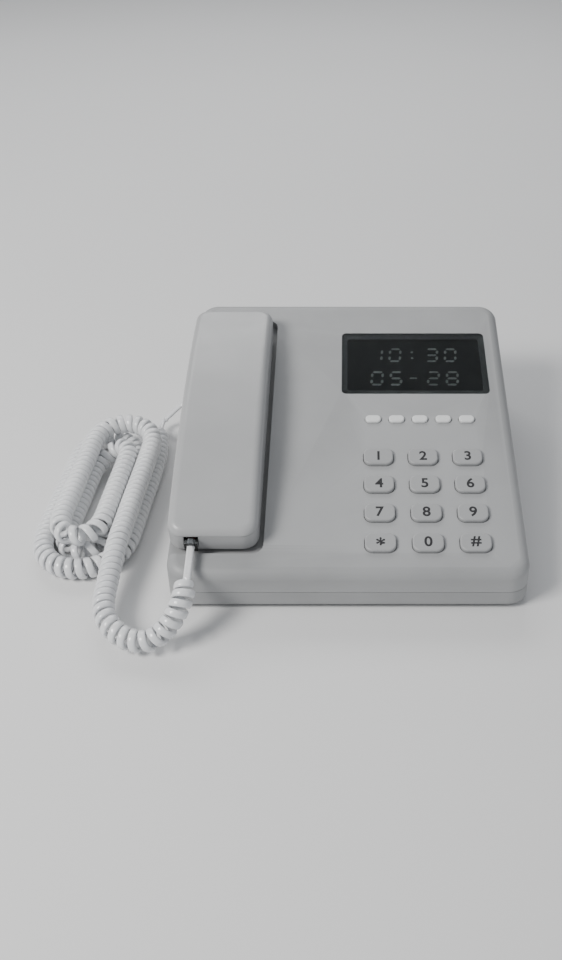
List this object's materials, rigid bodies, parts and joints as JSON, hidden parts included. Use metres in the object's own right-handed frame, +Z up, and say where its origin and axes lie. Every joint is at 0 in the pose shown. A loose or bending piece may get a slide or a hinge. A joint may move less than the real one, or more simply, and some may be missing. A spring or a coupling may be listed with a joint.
{
  "type": "corded landline phone",
  "caption": "Wedge-shaped corded desk phone with display and dial keys, handset resting on a hook switch at the left, and a long coiled handset cord in a hank beside it.",
  "frame": {"origin": "on the resting plane (undersides of the rubber feet), below the centre of the base's 200 x 220 mm footprint", "axes": "+X to the user's right, +Y away from the user towards the back, +Z up"},
  "size_m": [0.2847, 0.2538, 0.0814],
  "materials": {
    "housing": "satin moulded silver-grey with a fine grain",
    "handset_plastic": "smooth light silver-grey",
    "key_plastic": "satin, a shade darker than the housing",
    "function_key_plastic": "satin light grey",
    "lens": "clear smoked display window",
    "lcd_glass": "grey-green liquid crystal panel",
    "inner_plastic": "black moulded",
    "silicone": "matte translucent silicone",
    "foot_rubber": "matte black rubber",
    "board": "green solder mask",
    "zinc_steel": "zinc-plated",
    "spring_steel": "drawn wire",
    "gold": "gold-plated contacts",
    "clear_plastic": "clear polycarbonate",
    "cord_pvc": "glossy off-white jacket",
    "wire_insulation": "thin coloured insulation, four colours",
    "speaker_can": "black can and paper cone",
    "mic_can": "small aluminium can"
  },
  "bodies": {
    "base": {"base_top_shell": "housing", "base_bottom_shell": "housing", "rubber_feet": "foot_rubber", "base_screws": "zinc_steel", "ballast_plate": "zinc_steel", "ringer_speaker": "speaker_can", "display_lens": "lens", "lcd_panel": "lcd_glass", "lcd_holder": "inner_plastic", "elastomer_strips": "silicone", "main_board": "board", "board_components": "inner_plastic", "board_screws": "zinc_steel", "keypad_mat": "silicone", "hook_bracket": "zinc_steel", "hook_spring": "spring_steel", "hook_microswitch": "inner_plastic", "cord_jack": "inner_plastic", "line_jack": "inner_plastic", "jack_contacts": "gold", "plug_base": "clear_plastic", "plug_base_contacts": "gold", "plug_base_wires": "wire_insulation", "cord_tail_base": "cord_pvc", "coil_cord": "cord_pvc", "slide_switch_bodies": "inner_plastic"},
    "handset": {"handset_outer_shell": "handset_plastic", "handset_inner_shell": "handset_plastic", "handset_screws": "zinc_steel", "receiver_gasket": "silicone", "receiver_capsule": "speaker_can", "microphone_boot": "silicone", "microphone": "mic_can", "handset_weight": "zinc_steel", "handset_jack": "inner_plastic", "plug_handset": "clear_plastic", "plug_handset_contacts": "gold", "plug_handset_wires": "wire_insulation", "cord_tail_handset": "cord_pvc"},
    "hook": {"hook_plunger": "inner_plastic"},
    "hook_lever": {"hook_switch_lever": "zinc_steel"},
    "ringer_knob": {"ringer_switch_knob": "inner_plastic"},
    "tone_knob": {"tone_switch_knob": "inner_plastic"},
    "key_1_cap": {"key_1": "key_plastic"},
    "key_2_cap": {"key_2": "key_plastic"},
    "key_3_cap": {"key_3": "key_plastic"},
    "key_4_cap": {"key_4": "key_plastic"},
    "key_5_cap": {"key_5": "key_plastic"},
    "key_6_cap": {"key_6": "key_plastic"},
    "key_7_cap": {"key_7": "key_plastic"},
    "key_8_cap": {"key_8": "key_plastic"},
    "key_9_cap": {"key_9": "key_plastic"},
    "key_star_cap": {"key_star": "key_plastic"},
    "key_0_cap": {"key_0": "key_plastic"},
    "key_hash_cap": {"key_hash": "key_plastic"},
    "key_flash_cap": {"key_flash": "function_key_plastic"},
    "key_redial_cap": {"key_redial": "function_key_plastic"},
    "key_mute_cap": {"key_mute": "function_key_plastic"},
    "key_down_cap": {"key_down": "function_key_plastic"},
    "key_up_cap": {"key_up": "function_key_plastic"}
  },
  "joints": [
    {"name": "handset_lift", "type": "slide", "parent": "base", "child": "handset", "axis": [0, -0.2079, 0.9781], "range_m": [0, 0.12]},
    {"name": "hook_press", "type": "slide", "parent": "base", "child": "hook", "axis": [0, -0.2079, 0.9781], "range_m": [0, 0.004]},
    {"name": "hook_lever_turn", "type": "hinge", "parent": "base", "child": "hook_lever", "pos_m": [-0.0627, 0.03375, 0.02527], "axis": [0, 0.9781, 0.2079], "range_deg": [0, 19.01]},
    {"name": "key_1_press", "type": "slide", "parent": "base", "child": "key_1_cap", "axis": [0, 0.2079, -0.9781], "range_m": [0, 0.0015], "stiffness_N_per_m": 300, "springref_m": -0.001},
    {"name": "key_2_press", "type": "slide", "parent": "base", "child": "key_2_cap", "axis": [0, 0.2079, -0.9781], "range_m": [0, 0.0015], "stiffness_N_per_m": 300, "springref_m": -0.001},
    {"name": "key_3_press", "type": "slide", "parent": "base", "child": "key_3_cap", "axis": [0, 0.2079, -0.9781], "range_m": [0, 0.0015], "stiffness_N_per_m": 300, "springref_m": -0.001},
    {"name": "key_4_press", "type": "slide", "parent": "base", "child": "key_4_cap", "axis": [0, 0.2079, -0.9781], "range_m": [0, 0.0015], "stiffness_N_per_m": 300, "springref_m": -0.001},
    {"name": "key_5_press", "type": "slide", "parent": "base", "child": "key_5_cap", "axis": [0, 0.2079, -0.9781], "range_m": [0, 0.0015], "stiffness_N_per_m": 300, "springref_m": -0.001},
    {"name": "key_6_press", "type": "slide", "parent": "base", "child": "key_6_cap", "axis": [0, 0.2079, -0.9781], "range_m": [0, 0.0015], "stiffness_N_per_m": 300, "springref_m": -0.001},
    {"name": "key_7_press", "type": "slide", "parent": "base", "child": "key_7_cap", "axis": [0, 0.2079, -0.9781], "range_m": [0, 0.0015], "stiffness_N_per_m": 300, "springref_m": -0.001},
    {"name": "key_8_press", "type": "slide", "parent": "base", "child": "key_8_cap", "axis": [0, 0.2079, -0.9781], "range_m": [0, 0.0015], "stiffness_N_per_m": 300, "springref_m": -0.001},
    {"name": "key_9_press", "type": "slide", "parent": "base", "child": "key_9_cap", "axis": [0, 0.2079, -0.9781], "range_m": [0, 0.0015], "stiffness_N_per_m": 300, "springref_m": -0.001},
    {"name": "key_star_press", "type": "slide", "parent": "base", "child": "key_star_cap", "axis": [0, 0.2079, -0.9781], "range_m": [0, 0.0015], "stiffness_N_per_m": 300, "springref_m": -0.001},
    {"name": "key_0_press", "type": "slide", "parent": "base", "child": "key_0_cap", "axis": [0, 0.2079, -0.9781], "range_m": [0, 0.0015], "stiffness_N_per_m": 300, "springref_m": -0.001},
    {"name": "key_hash_press", "type": "slide", "parent": "base", "child": "key_hash_cap", "axis": [0, 0.2079, -0.9781], "range_m": [0, 0.0015], "stiffness_N_per_m": 300, "springref_m": -0.001},
    {"name": "key_flash_press", "type": "slide", "parent": "base", "child": "key_flash_cap", "axis": [0, 0.2079, -0.9781], "range_m": [0, 0.0015], "stiffness_N_per_m": 300, "springref_m": -0.001},
    {"name": "key_redial_press", "type": "slide", "parent": "base", "child": "key_redial_cap", "axis": [0, 0.2079, -0.9781], "range_m": [0, 0.0015], "stiffness_N_per_m": 300, "springref_m": -0.001},
    {"name": "key_mute_press", "type": "slide", "parent": "base", "child": "key_mute_cap", "axis": [0, 0.2079, -0.9781], "range_m": [0, 0.0015], "stiffness_N_per_m": 300, "springref_m": -0.001},
    {"name": "key_down_press", "type": "slide", "parent": "base", "child": "key_down_cap", "axis": [0, 0.2079, -0.9781], "range_m": [0, 0.0015], "stiffness_N_per_m": 300, "springref_m": -0.001},
    {"name": "key_up_press", "type": "slide", "parent": "base", "child": "key_up_cap", "axis": [0, 0.2079, -0.9781], "range_m": [0, 0.0015], "stiffness_N_per_m": 300, "springref_m": -0.001},
    {"name": "ringer_slide", "type": "slide", "parent": "base", "child": "ringer_knob", "axis": [0, 1, 0], "range_m": [-0.0035, 0.0035]},
    {"name": "tone_slide", "type": "slide", "parent": "base", "child": "tone_knob", "axis": [1, 0, 0], "range_m": [-0.0025, 0.0025]}
  ],
  "couplings": [
    {"joint": "hook_press", "follows": "handset_lift", "ratio": 0.033333},
    {"joint": "hook_lever_turn", "follows": "handset_lift", "rad_per_m": 2.7634}
  ]
}
